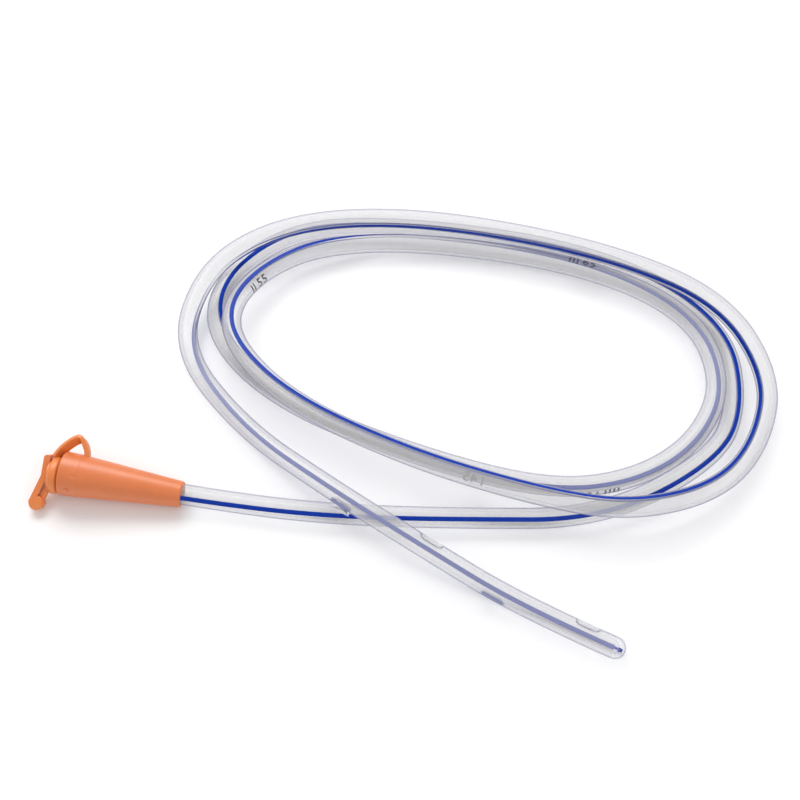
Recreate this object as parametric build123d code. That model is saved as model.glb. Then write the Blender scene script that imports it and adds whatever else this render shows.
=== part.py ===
from build123d import *
from math import atan, cos, degrees, pi, radians, sin, tan
import os

# Nasogastric stomach tube, 16 Fr, lying loosely coiled on a flat surface.
# Millimetres, +Z up, floor at Z = 0. The funnel lies on its side along X, its mouth towards -X,
# and the origin is on the floor under the middle of the funnel with its strap and stopper.

# Clear tube
tube_radius = 2.7
lumen_radius = 1.85
tip_wall = 1.6
eye_length = 5.6
eye_width = 2.4
eye_rise = 33
eye_distances = [8.5, 32, 51, 76]
eye_runs = 4
inlet_depth = 12

# Funnel connector
funnel_length = 31
mouth_x = -11.9
mouth_radius = 5.62
collar_length = 4.8
collar_draft = 0.12
collar_step = 0.07
small_end_radius = 3.29
mouth_bore_radius = 4.5
bore_end_radius = 2.5
bore_taper_length = 2
socket_depth = 10
lip_round = 0.35
small_end_round = 0.5
pip_radius = 0.5
pip_height = 0.2
pip_depth = 0.6
pip_from_mouth = 2.7
pip_turn = 132
dimple_radius = 1.6
dimple_depth = 0.12
dimple_from_mouth = 3.9
dimple_turn = 88

# Rise of the strap above the horizontal, as the moulding lies turned about the funnel's axis
strap_rise = 30

# Stopper, which sits low in the mouth, towards the lower wall of the bore
stopper_drop = 0.9
plug_clearance = 0.25
plug_length = 4.2
plug_tip_round = 0.9
shoulder_gap = 0.3
shoulder_radius = 4.75
shoulder_length = 2.7
shoulder_round = 1
shoulder_back_round = 1.2
neck_radius = 3.4
neck_length = 0.45

# Pull tab across the end of the stopper
tab_width = 3
tab_thickness = 1.5
tab_bend_drop = 0.5
plate_thickness = 1.6
plate_reach = 4.9
plate_round = 0.8
bead_radius = 1.9
bead_drop = 7.65
bead_out = 2.05
bead_edge = 0.4
rib_thickness = 1.3
rib_seat = 0.4

# Tether strap, measured from the funnel's axis and along it from the mouth
strap_width = 2.6
strap_thickness = 1.15
strap_clearance = 0.3
strap_foot = (2.8, -2.6)
strap_left_leg = [(5.9, -0.9), (8.2, 1.2)]
strap_apex = (9.3, 3.1)
strap_right_leg = [(8.2, 4.3), (6.8, 5.1)]
strap_root = (4.6, 5.65)
strap_left_twists = [-42, -42, -34, -10]
strap_right_twists = [-10, 0, 0, 0]

# Route of the tube past the funnel, from the small end to the rounded tip
route = [
    (54.5, 0.5, 2.7),
    (88.5, 4.5, 2.7),
    (125.5, 10.5, 2.7),
    (153, 31.5, 4.2),
    (158.5, 49.5, 2.7),
    (155, 70.5, 2.7),
    (135, 87, 2.7),
    (102, 95, 2.7),
    (55.5, 94.5, 2.7),
    (28.5, 87.5, 2.7),
    (13, 67.5, 2.7),
    (15, 48.5, 2.7),
    (37.5, 31, 2.7),
    (76, 20.5, 2.7),
    (111, 16, 2.7),
    (133, 22.5, 2.7),
    (148.5, 36.5, 2.9),
    (154, 54.5, 5.5),
    (144.5, 75, 5.5),
    (115, 87.5, 4.3),
    (70.5, 89.5, 3.6),
    (40.5, 83.5, 4.2),
    (25.5, 72, 5.4),
    (18.5, 57, 7),
    (23, 42.5, 8.6),
    (42.5, 27.5, 8.6),
    (76, 17, 7.6),
    (111, 11, 8.2),
    (132.5, 11, 8.4),
    (153.5, 21.5, 5.2),
    (164, 37, 4.6),
    (167, 57.5, 5),
    (153, 79, 7.8),
    (121.5, 90, 8.6),
    (76.5, 94.5, 8.4),
    (43.5, 91, 8.4),
    (21.5, 81, 8.6),
    (8.5, 65.5, 7),
    (7.5, 42, 4.4),
    (30, 20.5, 4.6),
    (56, 5.5, 8.4),
    (80.5, -6, 8.4),
    (108.5, -16.5, 2.9),
    (133, -23.5, 2.7),
]
arc_share = 0.45

# The collar's back edge and the small end rest on the floor, so the funnel's axis leans by this much
collar_back_radius = mouth_radius - collar_draft
lean = atan((collar_back_radius - small_end_radius) / (funnel_length - collar_length))
funnel_axis = Vector(cos(lean), 0, -sin(lean))
small_end_height = small_end_radius * cos(lean)
socket_start = funnel_length - socket_depth
bore_length = socket_start - bore_taper_length
shoulder_back = -shoulder_gap - shoulder_length
plate_front = shoulder_back - neck_length
plate_back = plate_front - plate_thickness
mouth_centre = Vector(mouth_x, 0, small_end_height + funnel_length * sin(lean))
rise = radians(strap_rise)
strap_side = Vector(sin(lean) * sin(rise), cos(rise), cos(lean) * sin(rise))

# In the moulding's own frame, Z runs into the funnel from its mouth and X points to the strap
moulding = Plane(origin=mouth_centre, x_dir=strap_side, z_dir=funnel_axis)
stopper_axis = Pos(-stopper_drop, 0, 0)


def bore_radius_at(depth):
    return mouth_bore_radius - (mouth_bore_radius - bore_end_radius) * depth / bore_length


def outline(corners):
    """Face in the XZ plane from (x, z, rounding) corners."""
    face = make_face(Polyline(*[(x, z) for x, z, _ in corners], close=True))
    for x, z, rounding in corners:
        if rounding:
            corner = face.vertices().sort_by_distance(Vector(x, z, 0))[0]
            face = fillet(corner, rounding)
    return Plane.XZ * face


def turned(corners):
    return revolve(outline(corners), Axis.Z)


def slab(corners, width):
    return extrude(outline(corners), amount=width / 2, both=True)


def funnel_outside():
    """Cone with a nearly cylindrical collar at its mouth."""
    return turned([
        (0, 0, 0),
        (mouth_radius, 0, lip_round),
        (collar_back_radius, collar_length, 0),
        (collar_back_radius - collar_step, collar_length + collar_step, 0),
        (small_end_radius, funnel_length, small_end_round),
        (0, funnel_length, 0),
    ])


def funnel_bore():
    """Tapered bore, a short neck down to the lumen, and the socket for the tube."""
    return turned([
        (0, 0, 0),
        (mouth_bore_radius, 0, 0),
        (bore_end_radius, bore_length, 0),
        (lumen_radius, socket_start, 0),
        (tube_radius, socket_start, 0),
        (tube_radius, funnel_length, 0),
        (0, funnel_length, 0),
    ])


def funnel_connector():
    peg = Rot(0, 90, 0) * Cylinder(pip_radius, pip_depth)
    pip = Rot(0, 0, pip_turn) * Pos(mouth_radius + pip_height - pip_depth / 2, 0, pip_from_mouth) * peg
    ball_radius = collar_back_radius + dimple_radius - dimple_depth
    ball = Pos(ball_radius, 0, dimple_from_mouth) * Sphere(dimple_radius)
    dimple = Rot(0, 0, dimple_turn) * ball
    return moulding * (funnel_outside() + pip - dimple - funnel_bore())


def stopper_plug():
    """Tapered plug with a rounded tip, the rounded shoulder outside the mouth, and the neck to the plate."""
    slack = stopper_drop + plug_clearance
    return turned([
        (0, plug_length, 0),
        (bore_radius_at(plug_length) - slack, plug_length, plug_tip_round),
        (mouth_bore_radius - slack, -shoulder_gap, 0),
        (shoulder_radius, -shoulder_gap, shoulder_round),
        (shoulder_radius, shoulder_back, shoulder_back_round),
        (neck_radius, shoulder_back, 0),
        (neck_radius, plate_front, 0),
        (0, plate_front, 0),
    ])


def pull_tab():
    """End plate that bends outward past the stopper's middle and ends in a round bar on a web."""
    bead_z = plate_back - bead_out + bead_radius
    bend_slope = bead_out / (bead_drop - tab_bend_drop)
    tab_depth = tab_thickness / cos(atan(bend_slope))
    inner_bend = tab_bend_drop - (plate_thickness - tab_depth) / bend_slope
    plate = slab([
        (plate_reach, plate_front, 0),
        (plate_reach, plate_back, plate_round),
        (-tab_bend_drop, plate_back, 0),
        (-bead_drop, plate_back - bead_out, 0),
        (-bead_drop, plate_back - bead_out + tab_depth, 0),
        (-inner_bend, plate_front, 0),
    ], tab_width)
    bead = Pos(-bead_drop, 0, bead_z) * Rot(90, 0, 0) * Cylinder(bead_radius, tab_width)
    bead = chamfer(bead.edges().filter_by(GeomType.CIRCLE), bead_edge)
    rib = slab([
        (-tab_bend_drop, shoulder_back, 0),
        (-shoulder_radius + shoulder_back_round, shoulder_back + rib_seat, 0),
        (-bead_drop, bead_z + bead_radius - rib_seat, 0),
        (-bead_drop, bead_z, 0),
    ], rib_thickness)
    return plate + bead + rib


def stopper_cap():
    return moulding * stopper_axis * (stopper_plug() + pull_tab())


def strap_section(before, here, after, twist):
    """Ribbon's cross-section at a point of its path, square to the path and turned about it."""
    way = ((here - before).normalized() + (after - here).normalized()).normalized()
    across = Vector(0, 1, 0).rotate(Axis((0, 0, 0), way), twist)
    spread = cos(radians((here - before).get_angle(after - here) / 2))
    return Plane(here, x_dir=across, z_dir=way) * Rectangle(strap_width, strap_thickness / spread)


def strap_leg(points, twists, smooth_from, smooth_to):
    """Ribbon lofted along one leg of the folded strap."""
    befores = [smooth_from] + points[:-1]
    afters = points[1:] + [smooth_to]
    return loft([strap_section(*place) for place in zip(befores, points, afters, twists)])


def tether_strap():
    """Folded ribbon, seated on the funnel's side and ending just short of the stopper."""
    left = [Vector(x, 0, z) for x, z in [strap_foot, *strap_left_leg, strap_apex]]
    right = [Vector(x, 0, z) for x, z in [strap_apex, *strap_right_leg, strap_root]]
    ribbon = strap_leg(left, strap_left_twists, left[0] * 2 - left[1], right[1])
    ribbon += strap_leg(right, strap_right_twists, left[-2], right[-1] * 2 - right[-2])
    keep_off = Cylinder(shoulder_radius + strap_clearance, 4 * shoulder_length)
    keep_off = stopper_axis * Pos(0, 0, shoulder_back) * keep_off
    return moulding * (ribbon - keep_off - funnel_outside())


def tube_points():
    """Socket's floor, then the point where the funnel's axis comes down to the tube's rest height."""
    start = mouth_centre + funnel_axis * socket_start
    landing = start + funnel_axis * ((start.Z - tube_radius) / sin(lean))
    return [start, landing] + [Vector(*point) for point in route]


def arc_radii(points):
    """One radius for each corner, as large as its two runs allow."""
    radii = []
    for before, here, after in zip(points, points[1:], points[2:]):
        turn = radians((here - before).get_angle(after - here))
        shorter = min((here - before).length, (after - here).length)
        radii.append(arc_share * shorter / tan(turn / 2))
    return radii


def round_ended_rod(points, radii, rod_radius, end_wall):
    """Rod along straight runs and tangent arcs, with a rounded end inside end_wall."""
    last_run = (points[-1] - points[-2]).normalized()
    points = points[:-1] + [points[-1] - last_run * (end_wall + rod_radius)]
    path = FilletPolyline(*points, radius=radii)
    section = Plane(origin=path @ 0, z_dir=path % 0) * Circle(rod_radius)
    return sweep(section, path=path) + Pos(path @ 1) * Sphere(rod_radius), path


def side_eye(path, distance, side):
    """Oval cutter through one wall of the tube, at a distance from the tip."""
    from_start = path.length + tube_radius - distance
    place = path.position_at(from_start, position_mode=PositionMode.LENGTH)
    along = path.tangent_at(from_start, position_mode=PositionMode.LENGTH)
    level = Vector(-along.Y, along.X, 0).normalized() * side
    out = level * cos(radians(eye_rise)) + Vector(0, 0, side * sin(radians(eye_rise)))
    oval = Plane(place, x_dir=along, z_dir=out) * SlotOverall(eye_length, eye_width)
    return extrude(oval, tube_radius + eye_width / 2)


def clear_tube():
    """Tube with a closed, rounded tip and eyes on alternate sides.

    The lumen is open where it can be looked into: at the funnel and behind the eyes.
    """
    points = tube_points()
    radii = arc_radii(points)
    rod, path = round_ended_rod(points, radii, tube_radius, 0)
    eye_points = points[-eye_runs:]
    eye_points.insert(0, (points[-eye_runs - 1] + points[-eye_runs]) / 2)
    tube = rod - round_ended_rod(eye_points, radii[1 - eye_runs:], lumen_radius, tip_wall)[0]
    inlet = Plane(origin=points[0], z_dir=funnel_axis) * Circle(lumen_radius)
    tube -= extrude(inlet, inlet_depth)
    for number, distance in enumerate(eye_distances):
        tube -= side_eye(path, distance, 1 if number % 2 == 0 else -1)
    print("tube length", round(path.length + tube_radius, 1), "arc radii", [round(r, 1) for r in radii])
    print("rod volume", round(rod.volume), "section by length", round(pi * tube_radius ** 2 * path.length))
    return tube


def main():
    os.makedirs("parts", exist_ok=True)
    nodes = {
        "funnel_connector": funnel_connector(),
        "tether_strap": tether_strap(),
        "stopper_cap": stopper_cap(),
        "clear_tube": clear_tube(),
    }
    for name, solid in nodes.items():
        export_step(solid, f"parts/{name}.step")
    box = Compound(list(nodes.values())[:3]).bounding_box()
    print("orange moulding", box.min, box.max, "lean", round(degrees(lean), 2))


main()
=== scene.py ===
import bpy
import bmesh
import math
import numpy as np
from mathutils import Matrix, Vector


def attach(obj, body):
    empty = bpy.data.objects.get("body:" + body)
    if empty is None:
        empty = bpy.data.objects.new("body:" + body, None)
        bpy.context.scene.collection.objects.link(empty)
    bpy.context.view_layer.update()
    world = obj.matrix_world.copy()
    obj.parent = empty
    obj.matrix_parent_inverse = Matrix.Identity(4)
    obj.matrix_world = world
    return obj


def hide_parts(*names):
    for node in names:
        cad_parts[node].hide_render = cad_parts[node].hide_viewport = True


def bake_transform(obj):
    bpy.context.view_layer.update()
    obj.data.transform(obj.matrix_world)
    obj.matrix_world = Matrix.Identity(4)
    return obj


# Nasogastric stomach tube, 16 Fr, coiled loosely on a white floor.
# Sizes are in metres, apart from those said to be in mm.

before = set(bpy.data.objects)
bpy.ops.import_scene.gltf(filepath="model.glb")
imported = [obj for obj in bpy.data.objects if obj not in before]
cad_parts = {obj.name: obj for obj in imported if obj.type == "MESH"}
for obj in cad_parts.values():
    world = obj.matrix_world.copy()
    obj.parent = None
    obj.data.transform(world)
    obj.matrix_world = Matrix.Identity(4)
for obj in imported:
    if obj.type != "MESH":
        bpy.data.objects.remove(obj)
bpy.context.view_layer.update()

# Sizes shared with the solids
TUBE_RADIUS = 0.0027
LUMEN_RADIUS = 0.00185
TIP_WALL = 0.0016

# Where the lumen starts, hidden in the funnel's socket
LUMEN_START = 0.004

# Side eyes: their oval, how far they are turned up or down from the level, distances from the tip
EYE_LENGTH = 0.0056
EYE_WIDTH = 0.0024
EYE_RISE = math.radians(44)
EYE_DISTANCES = [0.0104, 0.0338, 0.0529, 0.0778]
# The cutter of an eye: points of its oval, its ends outwards from the tube's middle, and its flare
OVAL_POINTS = 32
CUT_FROM = 0.0004
CUT_TO = 0.0042
CUT_FLARE = 1.12

# Funnel, and the directions that its strap is laid out in
MOUTH_CENTRE = Vector((-0.0119, 0.0, 0.005884))
LEAN = math.radians(4.8216)
STRAP_RISE = math.radians(30)
FUNNEL_AXIS = Vector((math.cos(LEAN), 0.0, -math.sin(LEAN)))
STRAP_SIDE = Vector((
    math.sin(LEAN) * math.sin(STRAP_RISE),
    math.cos(STRAP_RISE),
    math.cos(LEAN) * math.sin(STRAP_RISE),
))
ACROSS_STRAP = FUNNEL_AXIS.cross(STRAP_SIDE)

# Blue line in the wall: half its width as an angle, its faces across, and the other faces around
STRIPE_HALF = math.radians(12.5)
STRIPE_COLUMNS = 4
PLAIN_SIDES = 26

# Rounded ends: rings of the dome, degrees from one to the next, and room kept before the first
DOME_RINGS = 9
DOME_DEGREES = 10
DOME_ROOM = 0.0002
# Rings where the blue line is left out of the solid tip
TIP_GAPS = (0, 1, 5, 6)

# Turn of the blue line about the tube, smoothed over this much tube to each side
STRIPE_REACH = 0.012
# (distance from the funnel end of the tube in mm, degrees from the top towards the coil's middle)
STRIPE_TURN = [
    (0, -49),
    (12, -47),
    (28, -40),
    (89, -29),
    (146, -39),
    (172, -21),
    (231, 20),
    (290, 24),
    (332, 16),
    (341, 14),
    (353, 24),
    (366, 42),
    (400, 120),
    (437, 154),
    (481, 162),
    (526, 209),
    (604, 282),
    (647, 328),
    (663, 354),
    (693, 367),
    (710, 369),
    (730, 379),
    (781, 387),
    (812, 392),
    (839, 386),
    (890, 427),
    (945, 446),
    (1000, 454),
    (1029, 458),
    (1049, 468),
    (1062, 477),
    (1075, 500),
    (1087, 509),
    (1103, 519),
    (1145, 520),
    (1227, 520),
]

# Route of the tube from the floor of the funnel's socket to the rounded tip
ROUTE = [
    (0.00903, 0, 0.00412),
    (0.02585, 0, 0.0027),
    (0.0545, 0.0005, 0.0027),
    (0.0885, 0.0045, 0.0027),
    (0.1255, 0.0105, 0.0027),
    (0.153, 0.0315, 0.0042),
    (0.1585, 0.0495, 0.0027),
    (0.155, 0.0705, 0.0027),
    (0.135, 0.087, 0.0027),
    (0.102, 0.095, 0.0027),
    (0.0555, 0.0945, 0.0027),
    (0.0285, 0.0875, 0.0027),
    (0.013, 0.0675, 0.0027),
    (0.015, 0.0485, 0.0027),
    (0.0375, 0.031, 0.0027),
    (0.076, 0.0205, 0.0027),
    (0.111, 0.016, 0.0027),
    (0.133, 0.0225, 0.0027),
    (0.1485, 0.0365, 0.0029),
    (0.154, 0.0545, 0.0055),
    (0.1445, 0.075, 0.0055),
    (0.115, 0.0875, 0.0043),
    (0.0705, 0.0895, 0.0036),
    (0.0405, 0.0835, 0.0042),
    (0.0255, 0.072, 0.0054),
    (0.0185, 0.057, 0.007),
    (0.023, 0.0425, 0.0086),
    (0.0425, 0.0275, 0.0086),
    (0.076, 0.017, 0.0076),
    (0.111, 0.011, 0.0082),
    (0.1325, 0.011, 0.0084),
    (0.1535, 0.0215, 0.0052),
    (0.164, 0.037, 0.0046),
    (0.167, 0.0575, 0.005),
    (0.153, 0.079, 0.0078),
    (0.1215, 0.09, 0.0086),
    (0.0765, 0.0945, 0.0084),
    (0.0435, 0.091, 0.0084),
    (0.0215, 0.081, 0.0086),
    (0.0085, 0.0655, 0.007),
    (0.0075, 0.042, 0.0044),
    (0.03, 0.0205, 0.0046),
    (0.056, 0.0055, 0.0084),
    (0.0805, -0.006, 0.0084),
    (0.1085, -0.0165, 0.0029),
    (0.133, -0.0235, 0.0027),
]

# Depth marks: number, bars, distance from the tip in mm, turn from the top towards the
# coil's middle, and which way along the tube the digits read (1 is towards the tip)
DEPTH_MARKS = [
    ("45", 1, 445, 165, -1),
    ("55", 2, 544, 66, -1),
    ("65", 3, 642.5, -15, -1),
    ("75", 4, 744.5, -90, -1),
]
# Their print: height, and lift off the skin
PRINT_HEIGHT = 0.0026
PRINT_LIFT = 0.00002
# Bars: spacing, half the width, parts along one, and room from their middle to the digits' middle
BAR_STEP = 0.0011
BAR_HALF = 0.00022
BAR_PARTS = 12
DIGITS_OFFSET = 0.0033
# Digits: their height in the font, how much bolder they are, and the longest edge that bends well
CAP_HEIGHT = 0.7
DIGIT_BOLDNESS = 0.00004
LONGEST_EDGE = 0.00035

# Strap, and the points of its middle line from the funnel's side to the stopper:
# (along the strap's side, along the funnel's axis, twist in degrees), in mm from the mouth
STRAP_WIDTH = 0.0026
STRAP_THICKNESS = 0.00115
STRAP_ROUNDING = 0.00028
STRAP_STEPS = 8
STRAP_PATH = [
    (3.4, -2.4, -42),
    (5.9, -0.95, -44),
    (8.1, 1.05, -48),
    (9.15, 2.5, -46),
    (9.35, 3.05, -30),
    (9.1, 3.65, -10),
    (8.2, 4.35, 0),
    (6.8, 5.1, 0),
    (4.8, 5.6, 0),
]

# Clear plastic: how far the haze varies its cover, and the share of the cover that lamps pass
HAZE_SPREAD = 0.04
LAMP_SHARE = 0.9

# Stage
FLOOR_HALF = 3
FLOOR_DROP = 0.00001
LAMP_TARGET = (0.07, 0.03, 0)
LENS_MM = 51.75
SENSOR_MM = 36
CAMERA_PLACE = (0.09339, -0.11548, 0.26916)
CAMERA_TILT = math.radians(30)
CAMERA_TURN = math.radians(9)


def srgb(red, green, blue):
    """Linear colour from display values of 0 to 255."""
    def linear(value):
        value /= 255
        return value / 12.92 if value <= 0.04045 else ((value + 0.055) / 1.055) ** 2.4
    return (linear(red), linear(green), linear(blue), 1.0)


class Nodes:
    """Short way to build one material."""

    def __init__(self, name):
        self.material = bpy.data.materials.new(name)
        self.material.use_nodes = True
        self.tree = self.material.node_tree
        self.tree.nodes.clear()
        self.output = self.tree.nodes.new("ShaderNodeOutputMaterial")

    def add(self, kind, **settings):
        node = self.tree.nodes.new(kind)
        for key, value in settings.items():
            if key in node.inputs:
                node.inputs[key].default_value = value
            else:
                setattr(node, key, value)
        return node

    def link(self, source, target):
        self.tree.links.new(source, target)

    def ramp(self, source, stops):
        node = self.add("ShaderNodeValToRGB")
        elements = node.color_ramp.elements
        while len(elements) > 1:
            elements.remove(elements[-1])
        elements[0].position, elements[0].color = stops[0]
        for position, color in stops[1:]:
            elements.new(position).color = color
        self.link(source, node.inputs["Fac"])
        return node.outputs["Color"]

    def noise(self, scale, detail):
        place = self.add("ShaderNodeTexCoord")
        node = self.add("ShaderNodeTexNoise", Scale=scale, Detail=detail)
        self.link(place.outputs["Object"], node.inputs["Vector"])
        return node.outputs["Fac"]

    def bump(self, height, strength, distance, normal=None):
        node = self.add("ShaderNodeBump", Strength=strength, Distance=distance)
        self.link(height, node.inputs["Height"])
        if normal is not None:
            self.link(normal, node.inputs["Normal"])
        return node.outputs["Normal"]


def grey(value):
    return (value, value, value, 1.0)


def clear_plastic(name, centre, rim, centre_cover, rim_cover, roughness, tint):
    """Milky soft PVC that shows what is behind it and lets lamps through.

    The cover is the share of its own colour, which grows from its middle to its outline. Towards the
    outline that colour darkens to the rim colour, which is painted edge shade. The tint is
    the share of the light behind that one wall lets by.
    """
    m = Nodes(name)
    weight = m.add("ShaderNodeLayerWeight", Blend=0.5)
    cloud = m.noise(900, 4)
    # Painted edge shade: the colour darkens from the middle, through a grey band, to the rim colour at
    # the outline. The cover rising there stands for the longer path through the milky wall.
    shade = [(0.0, centre), (0.3, centre), (0.5, srgb(212, 212, 220)), (0.72, rim), (1.0, rim)]
    colour = m.ramp(weight.outputs["Facing"], shade)
    middle = (centre_cover + rim_cover) / 2
    veil = [
        (0.0, grey(centre_cover)),
        (0.25, grey(centre_cover)),
        (0.6, grey(middle)),
        (0.85, grey(rim_cover)),
    ]
    cover = m.ramp(weight.outputs["Facing"], veil)
    haze = m.add("ShaderNodeMath", operation="MULTIPLY_ADD")
    m.link(cloud, haze.inputs[0])
    haze.inputs[1].default_value = HAZE_SPREAD
    haze.inputs[2].default_value = -HAZE_SPREAD / 2
    total = m.add("ShaderNodeMath", operation="ADD", use_clamp=True)
    m.link(cover, total.inputs[0])
    m.link(haze.outputs[0], total.inputs[1])
    light = m.add("ShaderNodeLightPath")
    thin = m.add("ShaderNodeMath", operation="MULTIPLY_ADD")
    m.link(light.outputs["Is Shadow Ray"], thin.inputs[0])
    thin.inputs[1].default_value = -LAMP_SHARE
    thin.inputs[2].default_value = 1.0
    share = m.add("ShaderNodeMath", operation="MULTIPLY")
    m.link(total.outputs[0], share.inputs[0])
    m.link(thin.outputs[0], share.inputs[1])
    body = m.add("ShaderNodeBsdfPrincipled", Roughness=roughness, IOR=1.53)
    m.link(colour, body.inputs["Base Color"])
    m.link(m.bump(m.noise(2600, 2), 0.05, 0.00004), body.inputs["Normal"])
    clear = m.add("ShaderNodeBsdfTransparent", Color=(tint, tint, tint * 1.004, 1))
    mix = m.add("ShaderNodeMixShader")
    m.link(share.outputs[0], mix.inputs[0])
    m.link(clear.outputs[0], mix.inputs[1])
    m.link(body.outputs[0], mix.inputs[2])
    m.link(mix.outputs[0], m.output.inputs["Surface"])
    return m.material


def stripe_plastic():
    """Deep blue line under the tube's glossy skin."""
    m = Nodes("radiopaque_blue")
    grain = m.noise(1500, 5)
    colour = m.ramp(grain, [(0.3, srgb(0, 44, 146)), (0.7, srgb(2, 58, 172))])
    body = m.add("ShaderNodeBsdfPrincipled", Roughness=0.35, IOR=1.4)
    body.inputs["Specular IOR Level"].default_value = 0.25
    m.link(colour, body.inputs["Base Color"])
    m.link(m.bump(m.noise(2600, 2), 0.12, 0.00004), body.inputs["Normal"])
    m.link(body.outputs[0], m.output.inputs["Surface"])
    return m.material


def orange_plastic(name, shade):
    """Soft, slightly waxy orange PVC with a satin moulded surface."""
    m = Nodes(name)
    cloud = m.noise(260, 4)
    colour = m.ramp(cloud, [(0.25, srgb(*[c * 0.965 for c in shade])), (0.75, srgb(*shade))])
    speck = m.noise(4200, 2)
    rough = m.ramp(speck, [(0.3, grey(0.36)), (0.7, grey(0.46))])
    body = m.add("ShaderNodeBsdfPrincipled", IOR=1.5)
    body.inputs["Specular IOR Level"].default_value = 0.8
    body.inputs["Subsurface Weight"].default_value = 0.12
    body.inputs["Subsurface Radius"].default_value = (0.0016, 0.0006, 0.0003)
    body.inputs["Subsurface Scale"].default_value = 1.0
    m.link(colour, body.inputs["Base Color"])
    m.link(rough, body.inputs["Roughness"])
    waves = m.bump(m.noise(420, 2), 0.25, 0.00012)
    m.link(m.bump(speck, 0.16, 0.00003, waves), body.inputs["Normal"])
    m.link(body.outputs[0], m.output.inputs["Surface"])
    return m.material


def ink(name, shade):
    """Slightly worn printing ink."""
    m = Nodes(name)
    wear = m.noise(5200, 4)
    colour = m.ramp(wear, [(0.35, srgb(*shade)), (0.8, srgb(*[min(255, c + 60) for c in shade]))])
    body = m.add("ShaderNodeBsdfPrincipled", Roughness=0.5)
    m.link(colour, body.inputs["Base Color"])
    m.link(body.outputs[0], m.output.inputs["Surface"])
    return m.material


def new_object(name, mesh):
    piece = bpy.data.objects.new(name, mesh)
    bpy.context.scene.collection.objects.link(piece)
    return piece


def mesh_piece(name, vertices, faces, materials, face_materials=None):
    mesh = bpy.data.meshes.new(name)
    mesh.from_pydata([tuple(v) for v in vertices], [], faces)
    for material in materials:
        mesh.materials.append(material)
    if face_materials is not None:
        mesh.polygons.foreach_set("material_index", face_materials)
    mesh.polygons.foreach_set("use_smooth", [True] * len(mesh.polygons))
    mesh.update()
    return new_object(name, mesh)


# The tube's line ---------------------------------------------------------------------------

def route_line():
    """Points along the smooth spline through the route."""
    curve = bpy.data.curves.new("tube_route", "CURVE")
    curve.dimensions = "3D"
    curve.resolution_u = 24
    spline = curve.splines.new("NURBS")
    spline.points.add(len(ROUTE) - 1)
    for point, place in zip(spline.points, ROUTE):
        point.co = (*place, 1.0)
    spline.order_u = 3
    spline.use_endpoint_u = True
    holder = new_object("tube_route", curve)
    bpy.context.view_layer.update()
    mesh = bpy.data.meshes.new_from_object(holder)
    points = [v.co.copy() for v in mesh.vertices]
    bpy.data.objects.remove(holder)
    bpy.data.meshes.remove(mesh)
    return points


class Line:
    """Looks up places, directions and angles along the tube, by distance from its funnel end."""

    def __init__(self, points):
        self.points = np.array(points)
        steps = np.linalg.norm(np.diff(self.points, axis=0), axis=1)
        self.distances = np.concatenate([[0], np.cumsum(steps)])
        self.length = self.distances[-1]
        tangents = np.gradient(self.points, self.distances, axis=0)
        self.tangents = tangents / np.linalg.norm(tangents, axis=1)[:, None]

    def place(self, distance):
        return Vector([np.interp(distance, self.distances, self.points[:, axis]) for axis in range(3)])

    def tangent(self, distance):
        parts = [np.interp(distance, self.distances, self.tangents[:, axis]) for axis in range(3)]
        return Vector(parts).normalized()

    def sides(self, distance):
        """Upward and inward directions square to the tube."""
        along = self.tangent(distance)
        up = Vector((0, 0, 1))
        up = (up - along * up.dot(along)).normalized()
        return up, up.cross(along)

    def on_surface(self, distance, angle, radius):
        up, inward = self.sides(distance)
        return self.place(distance) + (up * math.cos(angle) + inward * math.sin(angle)) * radius


def stripe_angle(distance):
    """Smooth turn of the blue line about the tube."""
    at, turn = zip(*STRIPE_TURN)
    window = np.linspace(-STRIPE_REACH, STRIPE_REACH, 9)
    return math.radians(float(np.mean(np.interp((distance + window) * 1000, at, turn))))


def ring_angles():
    """Angles of the points around the tube, from the middle of the blue line."""
    stripe = [STRIPE_HALF * k / 2 for k in range(-2, 3)]
    rest = np.linspace(STRIPE_HALF, 2 * math.pi - STRIPE_HALF, PLAIN_SIDES + 1)[1:-1]
    return stripe + list(rest)


def closed_tube(line, stations, radius, dome_centre):
    """Vertices, faces and stripe flags of a closed tube with a round end."""
    angles = ring_angles()
    count = len(angles)
    rings = [(d, radius) for d in stations if d < dome_centre - DOME_ROOM]
    for step in range(DOME_RINGS):
        lift = math.radians(step * DOME_DEGREES)
        rings.append((dome_centre + radius * math.sin(lift), radius * math.cos(lift)))
    vertices = []
    for distance, ring_radius in rings:
        start = stripe_angle(min(distance, dome_centre))
        inside = min(distance, dome_centre)
        up, inward = line.sides(inside)
        centre = line.place(inside) + line.tangent(inside) * (distance - inside)
        for angle in angles:
            way = up * math.cos(start + angle) + inward * math.sin(start + angle)
            vertices.append(centre + way * ring_radius)
    vertices.append(line.place(dome_centre) + line.tangent(dome_centre) * radius)
    vertices.append(line.place(rings[0][0]))
    faces, stripes = [], []
    for row in range(len(rings) - 1):
        for column in range(count):
            after = (column + 1) % count
            a, b = row * count + column, row * count + after
            faces.append((a, b, b + count, a + count))
            stripes.append(column < STRIPE_COLUMNS)
    last = (len(rings) - 1) * count
    for column in range(count):
        after = (column + 1) % count
        faces.append((last + column, last + after, len(vertices) - 2))
        stripes.append(False)
        faces.append((after, column, len(vertices) - 1))
        stripes.append(False)
    return vertices, faces, stripes


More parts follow.
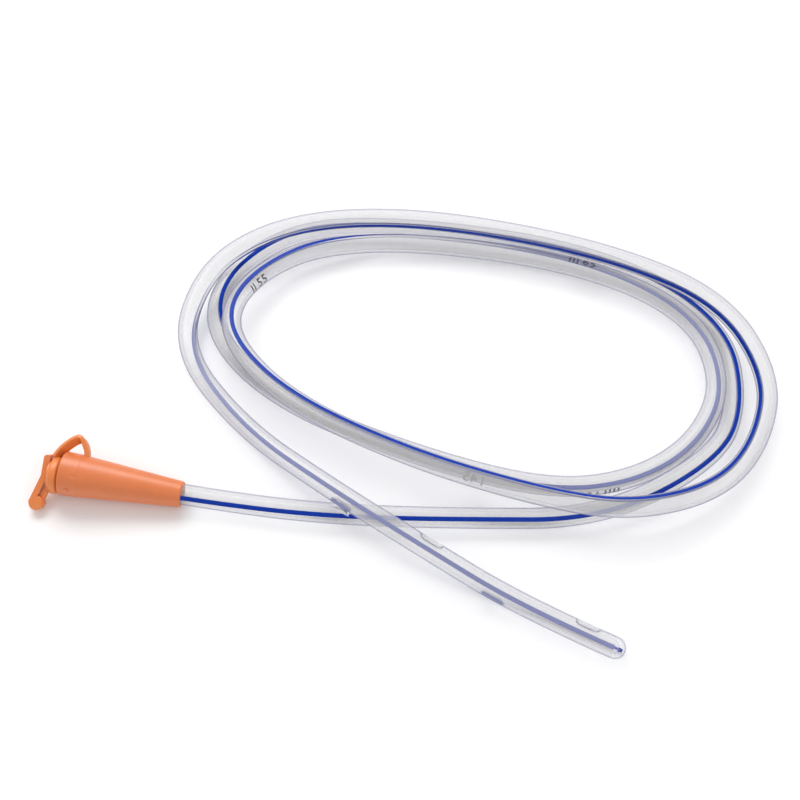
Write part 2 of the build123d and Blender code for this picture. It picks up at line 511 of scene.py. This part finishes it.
def eye_cutter(line, dome_end, distance, side, number, plain, edge):
    """Oval prism that cuts one side eye. The upper edge of a lower eye shows the blue of the line."""
    at = dome_end - distance
    along = line.tangent(at)
    level = Vector((-along.y, along.x, 0)).normalized() * side
    out = (level * math.cos(EYE_RISE) + Vector((0, 0, side * math.sin(EYE_RISE)))).normalized()
    along = (along - out * along.dot(out)).normalized()
    across = out.cross(along)
    centre = line.place(at)
    straight, half = (EYE_LENGTH - EYE_WIDTH) / 2, EYE_WIDTH / 2
    count = OVAL_POINTS
    outline = []
    for step in range(count):
        turn = 2 * math.pi * (step + 0.5) / count
        shift = straight if math.cos(turn) > 0 else -straight
        outline.append(along * (shift + half * math.cos(turn)) + across * (half * math.sin(turn)))
    vertices = [centre + offset + out * CUT_FROM for offset in outline]
    vertices += [centre + offset * CUT_FLARE + out * CUT_TO for offset in outline]
    faces, kinds = [], []
    for k in range(count):
        after = (k + 1) % count
        faces.append((k, after, count + after, count + k))
        is_upper = (outline[k] + outline[after]).z > 0
        kinds.append(1 if side < 0 and is_upper else 0)
    faces.append(tuple(reversed(range(count))))
    faces.append(tuple(range(count, 2 * count)))
    kinds += [0, 0]
    return mesh_piece(f"eye_cutter_{number}", vertices, faces, [plain, edge], kinds)


# The second colour of each clear plastic is its outline colour, a darker painted edge shade.
clear_outer = clear_plastic(
    "clear_pvc", srgb(236, 235, 234), srgb(142, 140, 164), 0.24, 0.85, 0.2, 0.985)
clear_inner = clear_plastic(
    "clear_pvc_lumen", srgb(242, 242, 241), srgb(206, 206, 216), 0.05, 0.3, 0.3, 0.985)
clear_tip = clear_plastic(
    "clear_pvc_tip", srgb(248, 248, 250), srgb(150, 150, 180), 0.1, 0.7, 0.06, 0.97)
clear_cut = clear_plastic(
    "clear_pvc_cut", srgb(236, 238, 240), srgb(170, 172, 190), 0.6, 0.95, 0.35, 0.985)
blue = stripe_plastic()
orange = orange_plastic("orange_pvc", (224, 121, 62))
orange_bright = orange_plastic("orange_pvc_bright", (232, 131, 60))
black_ink = ink("mark_ink", (38, 40, 48))

line = Line(route_line())
dome_end = line.length
dome_centre = dome_end - TUBE_RADIUS
stations = [d for d in line.distances if d < dome_centre]

outer_vertices, outer_faces, outer_stripes = closed_tube(line, stations, TUBE_RADIUS, dome_centre)
lumen_stations = [d for d in stations if d > LUMEN_START]
lumen_centre = dome_end - TIP_WALL - LUMEN_RADIUS
inner_vertices, inner_faces, inner_stripes = closed_tube(
    line, lumen_stations, LUMEN_RADIUS, lumen_centre)
shift = len(outer_vertices)
faces = outer_faces + [tuple(shift + i for i in reversed(face)) for face in inner_faces]
materials = [clear_outer, blue, clear_inner, clear_cut, clear_tip]
CLEAR, BLUE, LUMEN, TIP = 0, 1, 2, 4
kinds = [BLUE if s else CLEAR for s in outer_stripes] + [BLUE if s else LUMEN for s in inner_stripes]
# Rows are counted from the first ring of the tip's dome
for number, face in enumerate(outer_faces):
    row = min(face) // len(ring_angles()) - len(stations)
    if row >= 0 and (not outer_stripes[number] or row in TIP_GAPS):
        kinds[number] = TIP
tube = mesh_piece("tube_clear", outer_vertices + inner_vertices, faces, materials, kinds)

cutters = []
for number, distance in enumerate(EYE_DISTANCES):
    side = 1 if number % 2 == 0 else -1
    cutters.append(eye_cutter(line, dome_end, distance, side, number, clear_cut, blue))
for cutter in cutters:
    cut = tube.modifiers.new(cutter.name, "BOOLEAN")
    cut.operation = "DIFFERENCE"
    cut.solver = "EXACT"
    cut.object = cutter
    cut.material_mode = "TRANSFER"
bpy.context.view_layer.update()
cut_mesh = bpy.data.meshes.new_from_object(tube.evaluated_get(bpy.context.evaluated_depsgraph_get()))
tube.modifiers.clear()
tube.data = cut_mesh
for cutter in cutters:
    bpy.data.objects.remove(cutter)


# Printed depth marks -----------------------------------------------------------------------

def digit_outline(text, height):
    """Flat triangles of printed digits, centred, read along +X."""
    font = bpy.data.curves.new("digits", "FONT")
    font.body = text
    font.size = height / CAP_HEIGHT
    font.resolution_u = 4
    font.align_x = "CENTER"
    font.align_y = "CENTER"
    font.space_character = 1.08
    font.offset = DIGIT_BOLDNESS
    holder = new_object("digits", font)
    bpy.context.view_layer.update()
    mesh = bpy.data.meshes.new_from_object(holder)
    bpy.data.objects.remove(holder)
    build = bmesh.new()
    build.from_mesh(mesh)
    bmesh.ops.triangulate(build, faces=build.faces[:])
    for _ in range(4):
        long_edges = [e for e in build.edges if e.calc_length() > LONGEST_EDGE]
        if not long_edges:
            break
        bmesh.ops.subdivide_edges(build, edges=long_edges, cuts=1)
        bmesh.ops.triangulate(build, faces=build.faces[:])
    build.to_mesh(mesh)
    build.free()
    return mesh


def wrapped(points, at, turn, reading):
    """Flat print laid on the tube's skin."""
    out = []
    for x, y in points:
        angle = turn + reading * y / TUBE_RADIUS
        out.append(line.on_surface(at + reading * x, angle, TUBE_RADIUS + PRINT_LIFT))
    return out


marks = []
for text, bars, from_tip, turn, reading in DEPTH_MARKS:
    at = dome_end - from_tip / 1000
    turn = math.radians(turn)
    vertices, faces = [], []
    for bar in range(bars):
        x = BAR_STEP * (bar - (bars - 1) / 2)
        first = len(vertices)
        flat = []
        for step in range(BAR_PARTS + 1):
            y = PRINT_HEIGHT * (step / BAR_PARTS - 0.5)
            flat += [(x - BAR_HALF, y), (x + BAR_HALF, y)]
        vertices += wrapped(flat, at, turn, reading)
        for k in range(first, first + 2 * BAR_PARTS, 2):
            faces.append((k, k + 1, k + 3, k + 2))
    digits = digit_outline(text, PRINT_HEIGHT)
    first = len(vertices)
    offset = DIGITS_OFFSET + BAR_STEP * (bars - 1) / 2
    vertices += wrapped([(v.co.x + offset, v.co.y) for v in digits.vertices], at, turn, reading)
    faces += [tuple(first + i for i in p.vertices) for p in digits.polygons]
    bpy.data.meshes.remove(digits)
    marks.append(mesh_piece(f"depth_mark_{text}", vertices, faces, [black_ink]))


# Strap that ties the stopper to the funnel -------------------------------------------------

def moulding_point(side, across, along):
    """Place measured from the middle of the funnel's mouth."""
    return MOUTH_CENTRE + STRAP_SIDE * side + ACROSS_STRAP * across + FUNNEL_AXIS * along


def smooth_path(points, steps):
    """Smooth curve through points, with so many steps from one to the next."""
    padded = [2 * points[0] - points[1]] + points + [2 * points[-1] - points[-2]]
    out = []
    for a, b, c, d in zip(padded, padded[1:], padded[2:], padded[3:]):
        square, cube = 2 * a - 5 * b + 4 * c - d, 3 * b - a - 3 * c + d
        for k in range(steps):
            t = k / steps
            out.append(0.5 * (2 * b + (c - a) * t + square * t ** 2 + cube * t ** 3))
    out.append(points[-1])
    return out


def rounded_section(width, thickness, rounding):
    """Points around a flat bar with rounded corners."""
    corners = []
    for cx, cy, start in [(1, 1, 0), (-1, 1, 90), (-1, -1, 180), (1, -1, 270)]:
        for k in range(5):
            turn = math.radians(start + 22.5 * k)
            x = cx * (width / 2 - rounding) + rounding * math.cos(turn)
            y = cy * (thickness / 2 - rounding) + rounding * math.sin(turn)
            corners.append((x, y))
    return corners


path = smooth_path([np.array(p, float) for p in STRAP_PATH], STRAP_STEPS)
section = rounded_section(STRAP_WIDTH, STRAP_THICKNESS, STRAP_ROUNDING)
strap_vertices, strap_faces = [], []
for index, (side, along, twist) in enumerate(path):
    before, after = path[max(index - 1, 0)], path[min(index + 1, len(path) - 1)]
    way = moulding_point(after[0], 0, after[1]) - moulding_point(before[0], 0, before[1])
    way.normalize()
    across = Matrix.Rotation(math.radians(twist), 3, way) @ ACROSS_STRAP
    normal = way.cross(across)
    centre = moulding_point(side / 1000, 0, along / 1000)
    for x, y in section:
        strap_vertices.append(centre + across * x + normal * y)
size = len(section)
for row in range(len(path) - 1):
    for column in range(size):
        after = (column + 1) % size
        a, b = row * size + column, row * size + after
        strap_faces.append((a, b, b + size, a + size))
strap_faces.append(tuple(reversed(range(size))))
strap_faces.append(tuple((len(path) - 1) * size + k for k in range(size)))
strap = mesh_piece("strap", strap_vertices, strap_faces, [orange_bright])


# Funnel and stopper ------------------------------------------------------------------------

def dress(node, material):
    """Gives a CAD node its material."""
    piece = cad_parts[node]
    piece.data.materials.clear()
    piece.data.materials.append(material)


dress("funnel_connector", orange)
dress("stopper_cap", orange_bright)

# Who rides on what
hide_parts("clear_tube")
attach(tube, "connector")
for mark in marks:
    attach(mark, "connector")
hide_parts("tether_strap")
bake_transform(strap)


# Floor, light and camera -------------------------------------------------------------------

floor_mesh = bpy.data.meshes.new("floor")
corners = [(x * FLOOR_HALF, y * FLOOR_HALF, 0) for x, y in [(-1, -1), (1, -1), (1, 1), (-1, 1)]]
floor_mesh.from_pydata(corners, [], [(0, 1, 2, 3)])
floor = new_object("floor", floor_mesh)
floor.location = (0.08, 0.03, -FLOOR_DROP)
white = Nodes("floor_white")
paint = white.add("ShaderNodeBsdfDiffuse", Color=(0.93, 0.93, 0.935, 1))
white.link(paint.outputs[0], white.output.inputs["Surface"])
floor.data.materials.append(white.material)

world = bpy.data.worlds.new("studio")
bpy.context.scene.world = world
world.use_nodes = True
back = world.node_tree.nodes["Background"]
back.inputs["Color"].default_value = (1.0, 1.0, 1.0, 1)
back.inputs["Strength"].default_value = 0.66


def lamp(name, place, size, power):
    data = bpy.data.lights.new(name, "AREA")
    data.shape = "RECTANGLE"
    data.size, data.size_y = size
    data.energy = power
    light = bpy.data.objects.new(name, data)
    bpy.context.scene.collection.objects.link(light)
    light.location = place
    light.rotation_euler = (Vector(LAMP_TARGET) - Vector(place)).to_track_quat("-Z", "Y").to_euler()


lamp("key", (-0.2, 0.55, 0.7), (0.7, 0.4), 5.2)
lamp("fill", (0.6, -0.3, 0.6), (0.6, 0.4), 0.9)

camera_data = bpy.data.cameras.new("camera")
camera_data.lens = LENS_MM
camera_data.sensor_width = SENSOR_MM
camera_data.sensor_fit = "HORIZONTAL"
camera_data.clip_start = 0.01
camera = bpy.data.objects.new("camera", camera_data)
bpy.context.scene.collection.objects.link(camera)
camera.location = CAMERA_PLACE
camera.rotation_euler = (CAMERA_TILT, 0, CAMERA_TURN)
bpy.context.scene.camera = camera
bpy.context.scene.view_settings.view_transform = "Standard"
